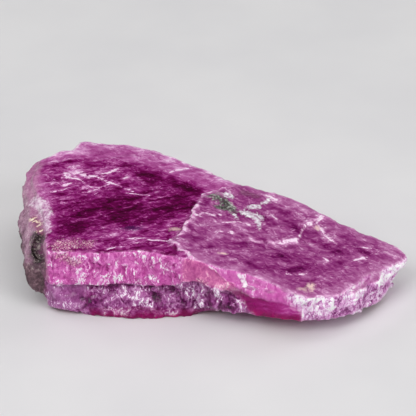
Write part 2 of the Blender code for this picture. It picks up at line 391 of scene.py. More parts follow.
def lumps(points, sizes, seed):
    """Smooth noise from -1 to 1, whose lumps have the given sizes in mm."""
    scaled = points / np.array(sizes) + seed
    return np.array([noise.noise(Vector(point)) for point in scaled])


# %% The borders between the layers
TABLE_RIM = 3.55  # the underside of the table, where it overhangs the foot
PLATE_RIM = (4.5, -0.07)  # the plate's underside: its height at the middle and its rise along X
# The left edge of the overgrown plate, from the back to the front, as (x, y).
PLATE_EDGE = [
    (3.5, 4.3), (0.4, 2.6), (-0.9, 1.9), (-1.7, 0.1), (-2.0, -2.4), (-2.9, -4.4), (-3.2, -6.1),
    (-4.3, -6.5), (-4.5, -7.2), (-3.8, -7.8), (-3.5, -8.7), (-2.7, -8.9), (-2.3, -10.0),
]
# The left edge of the table, from the front to the back, as (x, y).
LEFT_EDGE = [(-16.9, -8.6), (-17.3, -4.0), (-17.6, -1.9), (-18.2, 1.5), (-18.6, 5.0), (-18.2, 9.0)]


def edge_at(y, edge):
    """The x of an edge at each y."""
    places = np.array(sorted(edge, key=lambda place: place[1]))
    return np.interp(y, places[:, 1], places[:, 0])


def rim_at(x):
    """The height of the overhanging layer's underside at each x."""
    height, rise = PLATE_RIM
    return TABLE_RIM + ease(x, -4.2, -2.7) * (height + rise * x - TABLE_RIM)


def over_rim(points):
    """1 above the chipped underside of the overhanging layer, and 0 below it."""
    chipped_rim = rim_at(points[:, 0]) + 0.28 * lumps(points, (1.0, 1.0, 4.0), 16.7)
    return ease(points[:, 2] - chipped_rim, -0.15, 0.1)


# %% Where each kind of surface lies
SLIVER_TOP = 1.0  # of the lowest, clear layer
FACET_SLANT = 1.43  # of the smooth break's right border, in X for each mm of height
THIN_END_FACING = (0.55, -0.83, 0.0)


def find_rind(points, normals, up, wall):
    """The weathered left end, with the back corner beside it."""
    x, y, z = points.T
    rind = ease(x + 0.3 * lumps(points, (0.7, 0.7, 1.0), 24.1), -16.8, -17.5)
    rind = rind * ease(z, 8.0, 7.2) * (1 - 0.6 * up)
    facing_left = np.maximum(ease(-normals[:, 0], 0.3, 0.6), ease(y, 4.0, 6.0))
    left_wall = facing_left * ease(x + 1.8 * lumps(points, (1.6, 1.6, 1.6), 18.3), -13.4, -15.8)
    return np.maximum(rind, wall * left_wall * ease(y, -7.6, -6.4))


def find_zones(points, normals):
    """All zones. The limits below are in mm, or parts of the length of a normal."""
    x, y, z = points.T
    up = ease(normals[:, 2], 0.55, 0.85)
    under = ease(normals[:, 2], -0.45, -0.8) * ease(z, 1.2, 0.6)
    wall = np.clip(1 - up - under, 0, 1)
    above_rim = over_rim(points)
    below_rim = 1 - above_rim
    past_plate = x - edge_at(y, PLATE_EDGE) + 0.4 * lumps(points, (0.7, 0.7, 2.0), 12.7)
    past_left = edge_at(y, LEFT_EDGE) - x + 0.4 * lumps(points, (0.8, 0.8, 2.0), 22.7)
    # The borders that run up a wall follow x with a crooked wobble.
    crooked = x + 0.6 * lumps(points, (1.1, 1.1, 1.1), 14.3)
    crooked = crooked + 0.25 * lumps(points, (0.4, 0.4, 0.4), 15.9)
    slanted = crooked + (z - 7.0) * FACET_SLANT

    thin_end = ease(crooked + 0.4 * (z - 3.0), 8.4, 9.4)
    thin_end = thin_end * ease(normals @ np.array(THIN_END_FACING), 0.0, 0.35) * wall
    rind = find_rind(points, normals, up, wall)
    to_front = ease(-normals[:, 1], -0.1, 0.3) * ease(y, -6.0, -7.0)
    front = wall * to_front * (1 - thin_end) * (1 - rind)
    prow = front * below_rim * between(crooked + 0.8 * (z - 3.5), 2.4, 3.4, 9.3, 9.8)
    smooth_break = front * above_rim * ease(crooked, -3.0, -2.5) * ease(slanted, -0.2, -0.9)
    foot = front * below_rim * (1 - prow)
    other_walls = (wall - front - thin_end - rind).clip(0, 1)
    sliver = ease(y, -7.0, -8.0) * ease(z, SLIVER_TOP + 0.1, SLIVER_TOP - 0.1)
    return {
        "up": up,
        "under": under,
        "wall": wall,
        "plate": up * ease(past_plate, -0.1, 0.1) * ease(z, 3.0, 4.0),
        "lip": up * between(past_plate, -0.1, 0.15, 0.25, 0.9) * ease(y, 4.0, 3.0),
        "band": front * above_rim * (1 - smooth_break),
        "smooth_break": smooth_break,
        "plate_front": front * above_rim * ease(slanted, -0.9, -0.2),
        "foot": foot,
        "lobe": foot * ease(crooked - 0.5 * (z - 2.0), -12.6, -13.8),
        "prow": prow,
        "sliver": (1 - under) * sliver * between(crooked, -13.2, -12.4, 0.0, 1.5),
        "prow_foot": prow * ease(z, 3.0, 2.3),
        "low": other_walls * ease(z + 1.2 * lumps(points, (1.8, 1.8, 1.4), 20.1), 4.2, 2.8),
        "thin_end": thin_end,
        "rind": rind,
        "corner": wall * between(x, -17.7, -17.4, -16.9, -16.5) * ease(y, -5.5, -6.5) * above_rim,
        "shoulder": ease(past_left, -0.5, 0.5) * ease(z, 5.6, 7.0),
    }


NORMAL_ROUNDS = 6  # of smoothing, so that the zones don't follow the mesh's own grain
normals = around.smooth(mesh_array(stone.data, "normal"), NORMAL_ROUNDS)
normals /= np.linalg.norm(normals, axis=1)[:, None]
zones = find_zones(points, normals)
for name, zone in zones.items():
    print(f"{name:12} {zone.mean():.2f} of the surface")

# %% [markdown]
# ## Relief
# Where the crystal broke, it left a jumble of small flat faces, steps and ridges a few tenths of a
# millimetre wide. A bump in the material would be less work, but its edges vanish from the side.
# Here each point is moved along its normal, which gives real edges that catch the light from
# everywhere. Cell noise makes the faces: each cell gets its own tilt, so that its points lie on a
# small slanted plane. Smooth noise and thin crests add lumps and ridges.

# %% Noise shapes
CREST_SHARPNESS = 3.0
CELL_JUMP = 17.3  # neighbouring cells read the noise this far apart
noise.seed_set(1)  # noise_vector would otherwise change from run to run


def turned(points, angle, axis=2):
    """The points in a frame that is turned by the angle about an axis."""
    first, second = [i for i in range(3) if i != axis]
    out = points.copy()
    out[:, first] = points[:, first] * math.cos(angle) + points[:, second] * math.sin(angle)
    out[:, second] = points[:, second] * math.cos(angle) - points[:, first] * math.sin(angle)
    return out


def crests(points, sizes, seed):
    """Thin crests, 1 on the crest and 0 away from it."""
    return np.clip(1 - CREST_SHARPNESS * np.abs(lumps(points, sizes, seed)), 0, 1)


def facets(points, sizes, seed):
    """Small flat faces with the given sizes, each with its own tilt: heights about -1 to 1."""
    heights = []
    for point in points / np.array(sizes) + seed:
        place = Vector(point)
        centre = noise.voronoi(place)[1][0]
        tilt = noise.noise_vector(centre * CELL_JUMP)
        heights.append((place - centre).dot(tilt) * 2 + tilt.x)
    return np.array(heights)


def only(zone, shape, points, *settings):
    """A noise shape worked out only where its zone is, and 0 elsewhere."""
    inside = zone > 0.02
    height = np.zeros(len(zone))
    height[inside] = shape(points[inside], *settings)
    return height * zone


# %% What is carved where
GRAIN = math.radians(19)  # of the growth lines on the left of the tops, from +X towards +Y
BACK_GRAIN = math.radians(-33)  # and along the back edge
LEFT_LEAN = 0.5  # of the steps on the walls, in radians
RIGHT_LEAN = -0.6
# The patterns of each place: (noise shape, frame it is drawn in, sizes in mm, seed, height in mm).
RELIEF = {
    "band": [
        (facets, "bent", (0.7, 0.8, 1.2), 3.1, 0.14),
        (crests, "bent", (0.8, 0.9, 1.5), 6.1, 0.12),
        (lumps, "straight", (0.35, 0.35, 0.5), 4.7, 0.04),
        (lumps, "straight", (1.1, 1.1, 1.0), 7.7, 0.1),
    ],
    "foot": [
        (lumps, "left", (1.0, 1.0, 0.8), 19.9, 0.28),
        (facets, "left", (1.0, 1.1, 1.5), 13.9, 0.18),
        (crests, "right", (0.8, 0.8, 1.1), 17.3, 0.1),
        (lumps, "straight", (0.35, 0.35, 0.45), 23.1, 0.05),
    ],
    "thin end": [
        (facets, "right", (1.0, 1.0, 1.6), 29.1, 0.2),
        (facets, "right", (0.45, 0.45, 0.7), 31.7, 0.05),
        (crests, "right", (0.9, 0.9, 1.6), 33.3, -0.14),
    ],
    "rind": [
        (lumps, "straight", (0.9, 0.9, 1.1), 41.3, 0.13),
        (facets, "straight", (0.4, 0.4, 0.5), 43.9, 0.08),
    ],
    "back of the rind": [(facets, "straight", (2.6, 2.6, 2.2), 57.1, 0.24)],
    "smooth breaks": [(lumps, "straight", (0.9, 0.9, 0.7), 45.7, 0.05)],
    "other walls": [
        (facets, "bent", (2.4, 2.4, 1.3), 49.7, 0.34),
        (lumps, "bent", (1.8, 1.8, 0.7), 53.3, 0.16),
        (facets, "right", (0.7, 0.7, 1.1), 47.3, 0.12),
        (crests, "left", (1.0, 1.0, 1.6), 55.9, 0.1),
        (lumps, "straight", (0.4, 0.4, 0.5), 51.1, 0.05),
    ],
    "tops": [
        (lumps, "along", (3.2, 0.34, 3.0), 61.7, 0.018),
        (lumps, "along", (1.1, 0.22, 1.0), 67.9, 0.01),
        (facets, "along", (1.6, 0.5, 2.0), 69.1, 0.014),
        (lumps, "straight", (1.3, 0.9, 1.0), 71.3, 0.03),
    ],
    "underside": [(lumps, "straight", (0.9, 0.9, 0.9), 83.3, 0.05)],
}
# Single humps and hollows of the rind: (start, end, radius, height) in mm.
HUMPS = [
    ((-18.2, -4.9, 6.7), (-17.9, -6.8, 5.4), 0.9, -0.2),
    ((-18.7, 6.4, 6.6), (-18.9, 1.0, 6.2), 1.6, 0.26),
    ((-19.8, -1.5, 5.8), (-19.5, -4.5, 4.8), 1.4, -0.16),
]
RIND_SINK = 0.12
LIP = (0.15, 0.16)  # height of the plate's raised lip, and how much it varies
FLAKE_STEP = 0.16
# The edge of the thin flake that is left on the plate, as (x, y).
FLAKE_EDGE = [
    (3.8, -5.6), (6.6, -5.2), (8.0, -4.7), (9.2, -4.1), (9.5, -2.5), (10.0, -1.4), (11.0, -0.7),
    (11.8, 0.6),
]


# %% The height of the relief
def carved_places(points, zones, rim):
    """How strongly each place is carved. The fine tip and the rims are spared."""
    end = zones["thin_end"] * (1 - 0.7 * ease(points[:, 0], 18.6, 19.8))
    rind = zones["rind"]
    smooth = zones["prow"] + zones["smooth_break"]
    named = np.maximum.reduce([zones["band"], zones["foot"], end, rind, smooth])
    return {
        "band": zones["band"] * (1 - 0.6 * zones["plate_front"]) * (1 - zones["corner"]),
        "foot": zones["foot"] * (1 - 0.75 * zones["lobe"]) * (1 - zones["sliver"]),
        "thin end": end,
        "rind": rind,
        "back of the rind": rind * (1 - rim) * ease(points[:, 1], -3.0, 1.0),
        "smooth breaks": smooth,
        "other walls": np.clip(zones["wall"] - named, 0, 1) * (1 - 0.85 * rim),
        "tops": zones["up"],
        "underside": zones["under"],
    }


def drawing_frames(points):
    """The frames that the patterns are drawn in, so that they bend, lean or follow the grain."""
    bent = points.copy()
    bent[:, 0] += 0.6 * lumps(points, (1.6, 1.6, 1.6), 5.3)
    bent[:, 2] += 0.5 * lumps(points, (1.2, 1.2, 1.2), 9.1)
    return {
        "straight": points,
        "bent": bent,
        "left": turned(bent, LEFT_LEAN, axis=1),
        "right": turned(bent, RIGHT_LEAN, axis=1),
        "along": turned(points, GRAIN),
    }


def flake_step(points):
    """1 just outside the flake's edge, fading away over a millimetre or two."""
    depth = np.zeros(len(points))
    for start, end in zip(FLAKE_EDGE, FLAKE_EDGE[1:]):
        run = np.array(end) - np.array(start)
        away = points[:, :2] - np.array(start)
        share = away @ run / (run @ run)
        outside = (run[1] * away[:, 0] - run[0] * away[:, 1]) / np.linalg.norm(run)
        strip = between(share, -0.1, 0.05, 0.95, 1.1) * between(outside, -0.05, 0.08, 0.3, 1.8)
        depth = np.maximum(depth, strip)
    return depth


def relief(points, zones, rim):
    """The height of the fine relief over the smooth stone, in mm."""
    places = carved_places(points, zones, rim)
    frames = drawing_frames(points)
    height = zones["rind"] * -RIND_SINK
    for name, patterns in RELIEF.items():
        for shape, drawn_in, sizes, seed, full in patterns:
            height += only(places[name], shape, frames[drawn_in], sizes, seed) * full
    for start, end, radius, full in HUMPS:
        height += patch(points, start, end, radius) * full
    low, varied = LIP
    lip = low + varied * only(zones["up"], lumps, points, (0.8, 0.8, 2.0), 87.7)
    return height + zones["lip"] * lip - flake_step(points) * zones["plate"] * FLAKE_STEP


# %% Carve the surface
CHIP_DEPTH = 0.2
FLAT_BELOW = 0.12  # the parting face under the stone stays flat


def stands_out(points, normals, rounds, full):
    """How far points stand out from their surroundings: 1 where it is the full height in mm.

    The surroundings reach as far as the rounds of smoothing.
    """
    away = ((points - around.smooth(points, rounds)) * normals).sum(axis=1)
    return np.clip(away / full, -1, 1)


def chipped(points, normals):
    """The points with their sharp rims knocked back here and there."""
    rim = np.clip(stands_out(points, normals, rounds=24, full=0.14), 0, 1)
    chips = 0.5 + 0.5 * only(rim, lumps, points, (0.9, 0.9, 0.9), 91.7) / np.maximum(rim, 0.02)
    return points - normals * (rim * ease(chips, 0.42, 0.8) * CHIP_DEPTH)[:, None]


rim = np.clip(stands_out(points, normals, rounds=100, full=0.25), 0, 1)
points = chipped(points, normals)
height = relief(points, zones, rim)
height *= ease(points[:, 2], 0.0, FLAT_BELOW)
carved = points + normals * height[:, None]
carved[:, 2] = np.maximum(carved[:, 2], 0)
set_points(stone.data, carved)
print("relief from", round(height.min(), 2), "to", round(height.max(), 2), "mm")

# %% [markdown]
# ## Marks on the mesh
# The colours need to know more than the zones: where crests and hollows are, how far a place on the
# tops is from their edge, and where the soft patches of other minerals, of painted light and of
# painted shade lie. The distance from each point to the mean of its surroundings tells crests from
# hollows. A search tree finds the nearest point of the walls for each point of the tops. Every mark
# is stored as a number on the mesh's points, which the material can read, so the stone needs no
# unwrapping.

# %% Crests, edges and the deep windows
# Where one looks deepest into the stone: (centre x, y), (half length along the grain, half width).
DARK_WINDOWS = [
    ((-12.3, -0.8), (4.2, 1.9)), ((-14.2, -4.3), (2.6, 1.1)), ((-5.4, -1.2), (3.6, 2.2)),
    ((-8.6, -2.0), (3.4, 1.8)), ((-4.6, -6.2), (1.2, 0.5)), ((-2.6, 0.6), (1.6, 1.9)),
    ((-10.0, 0.6), (3.0, 1.2)), ((6.8, -7.2), (1.5, 0.5)), ((8.8, -9.0), (1.3, 0.5)),
    ((-1.2, -6.4), (1.0, 0.35)), ((-0.4, -7.6), (1.0, 0.3)), ((2.8, -6.2), (1.3, 0.3)),
]
# The same along the back edge's grain.
BACK_WINDOWS = [
    ((-6.6, 5.4), (2.6, 0.8)), ((-9.4, 4.2), (1.2, 0.6)), ((-3.2, 3.8), (2.2, 0.8)),
    ((7.6, 0.2), (1.5, 0.5)), ((9.4, -2.6), (1.3, 0.8)), ((12.4, -4.6), (2.0, 0.6)),
    ((15.6, -4.2), (1.6, 0.4)), ((6.2, -1.8), (1.3, 0.6)), ((3.8, -9.2), (1.6, 0.35)),
]
BORDER = 2.0  # width of the pale border of the tops
# The front of the pale strip along the table's back edge, as (x, y).
BACK_STRIP = [
    (-13.5, 8.9), (-9.9, 8.6), (-7.7, 7.6), (-5.5, 6.6), (-3.3, 5.0), (-1.5, 3.2), (1.0, 1.0),
]
# Broad places that are paler than their surroundings, or deeper where the strength is below 0:
# (start, end, radius, strength).
PALE_PLACES = [
    ((-17.2, 6.2, 8.3), (-12.0, 6.2, 8.3), 2.8, 1.0),
    ((-10.0, -5.8, 7.7), (-5.0, -5.6, 7.6), 1.1, 1.0),
    ((5.5, -2.2, 7.1), (8.6, 0.0, 6.8), 1.6, 0.6),
    ((-17.3, 3.0, 8.0), (-17.0, -4.0, 7.6), 1.0, 1.0),
    ((-3.6, -7.2, 7.9), (-3.0, -8.2, 7.8), 0.6, 1.0),
    ((4.0, -8.0, 6.6), (9.0, -8.6, 5.8), 2.4, -0.5),
]


def windows(points, places, grain):
    """1 in the middle of each window, falling to 0 past its border."""
    depth = np.zeros(len(points))
    for (x, y), (length, width) in places:
        along = turned(points - np.array((x, y, 0.0)), grain)
        reach = (along[:, 0] / length) ** 2 + (along[:, 1] / width) ** 2
        depth = np.maximum(depth, np.exp(-reach ** 1.5))
    return depth


def border_of_tops(points, zones):
    """1 at the edge of the tops, falling to 0 over the width of the border."""
    walls = points[(zones["wall"] > 0.6) & (points[:, 2] > rim_at(points[:, 0]) + 0.5)]
    tree = kdtree.KDTree(len(walls))
    for index, (x, y, _) in enumerate(walls):
        tree.insert((x, y, 0.0), index)
    tree.balance()
    border = np.zeros(len(points))
    for index in np.flatnonzero(zones["up"] > 0.05):
        x, y, _ = points[index]
        border[index] = 1 - min(tree.find((x, y, 0.0))[2] / BORDER, 1)
    return border


# %% Marks of the relief and of the tops
ONLY_CARVED = ("up", "band")  # zones that no colour needs
marks = {name: zone for name, zone in zones.items() if name not in ONLY_CARVED}
marks["crest"] = stands_out(carved, normals, rounds=3, full=0.03)
marks["edge"] = stands_out(carved, normals, rounds=30, full=0.16)
marks["window"] = np.maximum(
    windows(points, DARK_WINDOWS, GRAIN), windows(points, BACK_WINDOWS, BACK_GRAIN)
)
behind_front = np.maximum(ease(points[:, 1], -6.5, -4.0), zones["plate"])
marks["border"] = border_of_tops(points, zones) * behind_front
strip_x, strip_y = np.array(BACK_STRIP).T
past_strip = points[:, 1] - np.interp(points[:, 0], strip_x, strip_y)
marks["back_strip"] = ease(past_strip, -0.6, 1.2) * (1 - zones["plate"])
# The back half, behind a line that runs a little askew.
marks["back"] = ease(0.45 * points[:, 0] + 0.9 * points[:, 1], 0.0, 4.0)
marks["pale"] = sum(
    patch(points, start, end, radius) * strength for start, end, radius, strength in PALE_PLACES
)
for name in ("edge", "window", "border", "pale"):
    print(f"{name:7} from {marks[name].min():.2f} to {marks[name].max():.2f}")

# %% Patches of other minerals, of painted light and of painted shade
# Each as one or more soft lines: (start, end, radius) in mm. The last two are painted light and
# painted shade: they only lighten or darken.
PATCHES = {
    "hollow": [((-18.2, -4.7, 6.9), (-17.9, -6.8, 5.4), 1.15)],
    "mica": [
        ((0.3, 1.5, 8.2), (1.6, 0.3, 8.0), 0.85), ((1.6, 0.3, 8.0), (2.5, -1.0, 7.8), 0.65),
        ((0.4, -0.4, 7.9), (1.4, -0.6, 7.9), 0.4),
    ],
    "chalk": [
        ((3.5, -0.8, 7.7), (5.0, -1.4, 7.3), 0.7), ((4.9, -2.2, 7.2), (5.1, -3.2, 7.0), 0.3),
        ((4.0, 0.1, 7.6), (5.0, 0.6, 7.5), 0.4), ((5.6, 1.2, 7.4), (6.2, 2.2, 7.4), 0.45),
        ((1.5, 1.8, 8.2), (2.0, 1.5, 8.1), 0.45), ((2.6, -1.5, 7.8), (2.7, -1.9, 7.7), 0.4),
    ],
    # A dull olive tone: a spot on the plate, and a strip under the plate's front rim.
    "olive": [((3.5, 2.6, 8.0), (4.8, 2.2, 7.8), 0.6), ((1.6, -11.0, 4.4), (3.6, -11.4, 4.3), 0.6)],
    "stain": [
        ((-18.7, -1.5, 7.3), (-18.0, -3.2, 7.3), 0.6), ((-18.0, -3.2, 7.3), (-17.6, -4.3, 7.3), 0.5),
    ],
    "frost": [
        ((-18.6, 1.2, 7.8), (-17.3, -1.6, 7.9), 0.9), ((-17.3, -1.6, 7.9), (-17.0, -5.0, 7.7), 0.5),
    ],
    "dust": [
        ((-15.9, -7.4, 7.4), (-12.8, -7.3, 7.4), 1.0), ((-15.6, -8.6, 6.9), (-13.8, -8.8, 6.3), 0.7),
        ((-1.4, -10.3, 4.9), (-0.6, -10.5, 4.6), 0.4),
    ],
    # A painted white highlight on a small chip at the plate's front.
    "chip": [((2.9, -11.1, 6.2), (3.4, -11.3, 5.2), 0.3)],
    "light": [
        ((-11.5, -8.3, 2.8), (-11.0, -8.3, 2.5), 0.45), ((-9.3, -8.3, 2.9), (-8.8, -8.3, 2.5), 0.5),
        ((-7.8, -8.2, 3.0), (-7.4, -8.5, 2.2), 0.5), ((-6.3, -8.9, 1.9), (-6.2, -9.0, 1.1), 0.4),
        ((-2.4, -9.3, 3.3), (-1.2, -9.5, 2.4), 0.6), ((-0.7, -9.9, 3.6), (-0.5, -10.0, 2.5), 0.4),
        ((-15.3, -8.8, 2.0), (-14.6, -9.0, 1.4), 0.35),
        ((-13.7, -8.9, 6.9), (-13.3, -8.8, 4.2), 0.4), ((-7.9, -8.6, 6.9), (-6.9, -8.5, 7.1), 0.6),
        ((-5.2, -9.0, 6.4), (-5.0, -9.0, 5.2), 0.25), ((-3.2, -9.8, 7.0), (-2.8, -9.9, 5.2), 0.35),
        ((-11.4, -8.9, 4.6), (-9.4, -8.7, 4.1), 0.4), ((0.4, -10.6, 6.8), (1.1, -10.8, 6.3), 0.4),
        ((9.0, -13.2, 4.7), (10.8, -13.0, 4.3), 0.7), ((10.8, -13.0, 4.4), (12.0, -12.7, 4.3), 0.5),
        ((14.2, -11.4, 3.8), (14.9, -10.8, 3.8), 0.8), ((17.0, -8.2, 3.9), (18.0, -7.0, 3.6), 0.9),
        ((19.5, -5.2, 4.2), (19.9, -5.0, 4.0), 0.4),
    ],
    "shade": [
        ((-0.2, -10.4, 2.6), (1.6, -11.1, 2.4), 0.5),
        ((-13.0, -8.8, 3.4), (-9.8, -8.2, 3.1), 0.3), ((-14.2, -8.5, 2.6), (-12.4, -9.0, 1.6), 0.55),
        ((-6.4, -8.2, 3.0), (-5.0, -9.0, 3.4), 0.4), ((-5.7, -8.7, 2.4), (-5.5, -8.8, 1.7), 0.5),
        ((-3.7, -8.8, 3.0), (-3.3, -8.8, 2.2), 0.4), ((1.5, -11.2, 2.8), (2.2, -11.3, 2.4), 0.5),
        ((16.3, -8.5, 4.2), (16.5, -8.9, 3.0), 0.45), ((10.8, -13.0, 2.1), (13.7, -11.6, 2.1), 0.6),
        ((13.7, -11.6, 2.2), (18.4, -6.4, 2.1), 0.6), ((12.9, -12.5, 4.4), (13.2, -12.3, 3.4), 0.35),
    ],
}
for name, lines in PATCHES.items():
    marks[name] = np.maximum.reduce([patch(points, *line) for line in lines])
for name, values in marks.items():
    stored = stone.data.attributes.new(name, "FLOAT", "POINT")
    stored.data.foreach_set("value", values.astype(np.float32))
print(len(marks), "marks stored on the mesh")

# %% [markdown]
# The even grid has far more points than the flat places need. The Decimate modifier merges points
# where that changes the shape least, and the marks stay with the points that are left.

# %% Fewer points where they aren't needed
TRIANGLES = 190000


def thin_out(stone):
    stone.data.calc_loop_triangles()
    before = len(stone.data.loop_triangles)
    decimate = stone.modifiers.new("Decimate", "DECIMATE")
    decimate.ratio = min(1, TRIANGLES / before)
    applied(stone)
    stone.data.calc_loop_triangles()
    print("triangles:", before, "thinned out to", len(stone.data.loop_triangles))


thin_out(stone)
stone.data.transform(Matrix.Scale(MM, 4))
stone.data.shade_smooth()

# %% [markdown]
# ## The crystal's look
# Corundum is clear inside, so its tops show a depth: deep magenta where one looks far in, and paler
# where fine cracks, veils and growth lines throw the light back. Real glass-like depth would need
# all those flaws as geometry inside the stone. Here one number stands for the depth, and a ramp
# turns it into colour. The broken walls throw nearly all light back, so they are pale.

# %% A base for all finishes of the stone
class Corundum(Surface):
    """The stone's material, with its place, its marks and the patterns that the finishes share."""

    def __init__(self):
        super().__init__("corundum")
        self.place = self.node("ShaderNodeTexCoord", {}, {}, "Object") * (1 / MM)
        self.x = self.node("ShaderNodeSeparateXYZ", {}, [self.place], "X")
        self.z = self.node("ShaderNodeSeparateXYZ", {}, [self.place], "Z")
        self.mark = {
            name: self.node("ShaderNodeAttribute", {"attribute_name": name}, {}, "Fac")
            for name in marks
        }
        self.grit = self.noise(self.place, (0.3, 0.3, 0.4), detail=3, distortion=1.2)
        self.lump = self.noise(self.place, (1.2, 1.2, 1.4), detail=3)
        self.clumps = self.noise(self.place, (0.9, 0.9, 0.9), detail=1)
        self.speckle = self.noise(self.place, (0.3, 0.3, 0.3), detail=4, roughness=0.7)
        self.bent = self.place + (self.wobble(self.place, 1.1, 2.0) - 0.5) * 0.9

    def cells(self, place, sizes):
        """Small flat faces: a random number for each face, and the distance to its border."""
        sockets = {"Vector": place * tuple(1 / size for size in sizes), "Scale": 1.0}
        face = self.node("ShaderNodeTexVoronoi", {"feature": "F1"}, sockets, "Color")
        seams = {"feature": "DISTANCE_TO_EDGE"}
        return (
            self.node("ShaderNodeSeparateXYZ", {}, [face], "X"),
            self.node("ShaderNodeTexVoronoi", seams, sockets, "Distance"),
        )

    def strokes(self, sizes, seed, width=0.09):
        """Short thin curved strokes: along the middle of a noise, broken up by another one."""
        line = self.noise(self.bent + seed, sizes, detail=1, distortion=0.8)
        gaps = self.noise(self.bent - seed, sizes, detail=1)
        return self.ease(abs(line - 0.5), width, width * 0.2) * self.ease(gaps, 0.48, 0.58)

    def threads(self, place, sizes, distortion, half_width):
        """Long thin lines, where a noise passes through its middle."""
        noise = self.noise(place, sizes, detail=2, distortion=distortion)
        return self.ease(abs(noise - 0.5), half_width, 0.0)

    def ragged(self, name, amount=1.0, start=0.25, end=0.95):
        """A mark with a ragged, soft edge."""
        frayed = (self.speckle - 0.5) * amount * 1.8 + (self.lump - 0.5) * amount * 1.6
        near = self.ease(self.mark[name], 0.02, 0.4)
        return self.ease(self.mark[name] + frayed * near, start, end)


look = Corundum()
look.tell("shared patterns")

# %% [markdown]
# The lines and spots inside the tops are few and each has its own place, so they are listed and
# drawn one by one, as the distance to a straight line or to a middle. A slow wobble of the place
# that they are drawn in makes the lines crooked.

# %% Lines and spots inside the tops
# Cracks that shine inside the tops: (places x, y that the crack passes), half width, strength.
CRACKS = [
    ([(-15.6, 5.5), (-14.9, 5.0), (-14.2, 5.0), (-13.8, 4.6)], 0.15, 1.0),
    ([(-15.8, 3.9), (-15.1, 4.1)], 0.12, 0.9),
    ([(-14.3, 6.1), (-12.4, 5.4), (-10.5, 4.1)], 0.22, 1.0),
    ([(-13.2, 5.1), (-10.0, 6.9)], 0.2, 0.8),
    ([(-10.5, 4.1), (-9.3, 3.2), (-8.0, 2.5)], 0.09, 0.7),
    ([(-13.6, 2.4), (-12.2, 3.0), (-10.9, 3.9)], 0.15, 0.8),
    ([(-17.0, 2.6), (-15.4, 3.0)], 0.12, 0.6),
    ([(-8.9, 2.2), (-7.6, 2.1), (-6.6, 1.8)], 0.1, 1.0),
    ([(-8.4, -6.3), (-6.3, -6.5), (-4.1, -6.8)], 0.1, 1.0),
    ([(-10.6, -8.2), (-9.3, -7.7)], 0.12, 1.0),
    ([(-9.3, -7.7), (-7.4, -7.1), (-6.0, -7.0)], 0.08, 0.6),
    ([(-6.0, 1.1), (-4.6, 1.6)], 0.09, 0.5),
    ([(-9.2, -0.7), (-8.1, -0.2)], 0.09, 0.5),
    ([(-4.4, 6.4), (-2.5, 7.5)], 0.14, 0.6),
    ([(-2.4, -2.9), (-0.6, -2.0), (1.2, -1.8)], 0.16, 0.7),
    ([(1.0, -3.2), (2.8, -2.6), (4.0, -2.9)], 0.1, 0.7),
    ([(1.0, -4.6), (2.2, -4.8)], 0.09, 0.6),
    (FLAKE_EDGE[:3], 0.12, 0.5),
    (FLAKE_EDGE[2:], 0.16, 0.75),
    ([(5.9, 2.7), (7.0, 2.2)], 0.14, 0.8),
    ([(11.2, -0.7), (12.0, -2.7), (13.1, -3.8), (14.4, -4.7)], 0.14, 0.5),
    ([(14.8, -6.1), (16.1, -5.2)], 0.13, 1.0),
    ([(7.7, -10.0), (8.6, -10.0), (9.6, -9.6)], 0.11, 0.9),
    ([(11.6, -6.4), (12.2, -6.8)], 0.1, 0.7),
    ([(13.5, -3.9), (15.4, -3.7), (17.4, -3.7)], 0.08, 0.5),
    ([(6.0, -0.4), (7.2, -1.5)], 0.09, 0.5),
]
INK = (46, 20, 72)
CREAM = (250, 216, 210)
# Soft spots inside the tops: (centre x, y), (half length, half width), colour, strength.
SPOTS = [
    ((-8.2, -4.4), (1.1, 0.5), INK, 0.7), ((-3.6, -4.6), (0.8, 0.3), CREAM, 0.6),
    ((1.1, -8.3), (0.5, 0.2), CREAM, 0.8), ((10.1, -11.5), (0.45, 0.7), CREAM, 0.9),
    ((9.4, -12.2), (0.8, 0.3), CREAM, 0.5), ((11.1, -1.5), (0.35, 0.4), CREAM, 0.8),
]


# %% Drawing on the tops
class Flat:
    """Places on the tops, seen straight from above, where lines and spots are drawn."""

    def __init__(self, surface):
        self.surface = surface
        crooked = surface.place + (surface.wobble(surface.place, 0.7, 1.0) - 0.5) * 0.7
        self.place = crooked * (1.0, 1.0, 0.0)

    def gap(self, start, end):
        """The distance to a straight line between two places."""
        run = Vector(end + (0.0,)) - Vector(start + (0.0,))
        from_start = self.place - (start + (0.0,))
        dot = self.surface.node(
            "ShaderNodeVectorMath", {"operation": "DOT_PRODUCT"},
            [from_start, tuple(run / run.length_squared)], "Value",
        )
        share = self.surface.node("ShaderNodeClamp", {}, {"Value": dot})
        nearest = self.surface.node(
            "ShaderNodeVectorMath", {"operation": "SCALE"}, {0: tuple(run), "Scale": share}
        )
        return self.surface.node(
            "ShaderNodeVectorMath", {"operation": "DISTANCE"}, [from_start, nearest], "Value"
        )

    def crack(self, places, half_width):
        """A thin bright core in a faint halo."""
        gaps = [self.gap(start, end) for start, end in zip(places, places[1:])]
        nearest = gaps[0]
        for gap in gaps[1:]:
            nearest = self.surface.least(nearest, gap)
        core = self.surface.ease(nearest, half_width * 1.4, half_width * 0.2)
        halo = self.surface.ease(nearest, half_width * 5, 0.0)
        return core * 0.7 + halo * 0.3

    def spot(self, centre, halves):
        """An oval spot with frayed edges."""
        away = (self.place - (centre + (0.0,))) * (1 / halves[0], 1 / halves[1], 0.0)
        reach = self.surface.node("ShaderNodeVectorMath", {"operation": "LENGTH"}, [away], "Value")
        frayed = (self.surface.speckle - 0.5) * 2.2 + (self.surface.grit - 0.5) * 1.6
        return self.surface.ease(reach + frayed, 1.4, 0.2)


def crack_light(look, flat):
    """All cracks together, 0 to 1."""
    light = 0.0
    for places, half_width, strength in CRACKS:
        light = look.most(flat.crack(places, half_width) * strength, light)
    return light


flat = Flat(look)
cracks = crack_light(look, flat)
look.tell(f"{len(CRACKS)} cracks")
